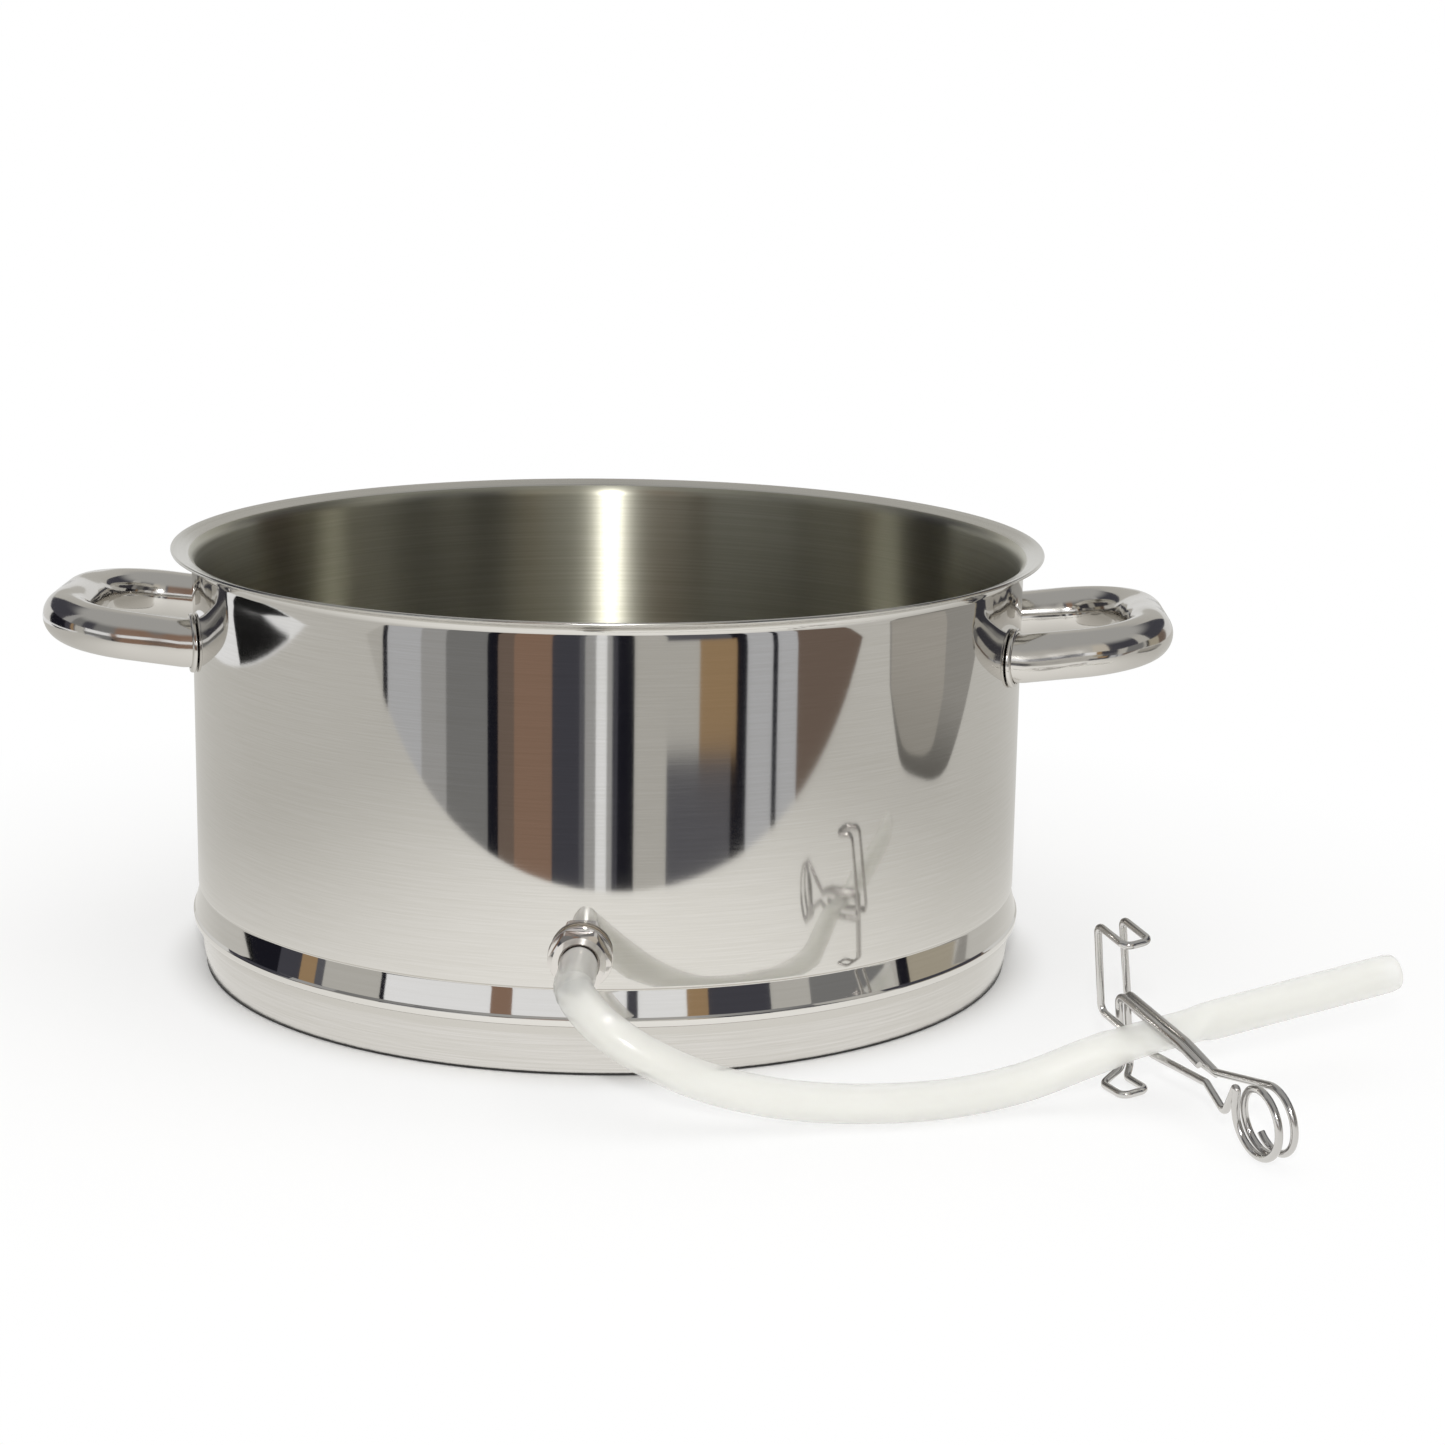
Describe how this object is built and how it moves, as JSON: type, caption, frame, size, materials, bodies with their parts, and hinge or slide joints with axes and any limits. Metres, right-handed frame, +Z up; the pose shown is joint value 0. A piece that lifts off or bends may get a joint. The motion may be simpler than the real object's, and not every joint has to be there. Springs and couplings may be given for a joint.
{
  "type": "juice kettle",
  "caption": "Stainless steel juice kettle with a flared lip, nesting skirt, steam funnel, tube loop handles, drain spigot, soft hose and spring wire pinch clamp.",
  "frame": {"origin": "centre of the foot ring, on the table", "axes": "+Z up along the kettle axis, the spigot points along -Y, the handles stand out along +X and -X"},
  "size_m": [0.4112, 0.3333, 0.133],
  "materials": {
    "shell_steel": "bright fine-brushed",
    "inner_steel": "satin",
    "polished_steel": "polished stainless steel",
    "spring_wire": "bright drawn wire",
    "clear_hose": "translucent silicone",
    "seal_rubber": "matt silicone"
  },
  "bodies": {
    "kettle": {"kettle_shell": "shell_steel", "juice_floor": "inner_steel", "steam_funnel": "inner_steel", "left_handle_tube": "polished_steel", "left_handle_collar_front": "polished_steel", "left_handle_collar_back": "polished_steel", "right_handle_tube": "polished_steel", "right_handle_collar_front": "polished_steel", "right_handle_collar_back": "polished_steel", "outlet_spigot": "polished_steel", "inner_seal": "seal_rubber", "outer_seal": "seal_rubber", "outlet_washer": "polished_steel", "outlet_nut": "polished_steel", "drain_hose": "clear_hose", "clamp_lower_jaw": "spring_wire"},
    "upper_jaw": {"clamp_upper_jaw": "spring_wire"}
  },
  "joints": [
    {"name": "clamp_open", "type": "hinge", "parent": "kettle", "child": "upper_jaw", "pos_m": [0.185, -0.187, 0.0117], "axis": [0.899, 0.4212, 0.1203], "range_deg": [0, 11], "stiffness_Nm_per_rad": 1.2, "springref_deg": -20.05}
  ]
}
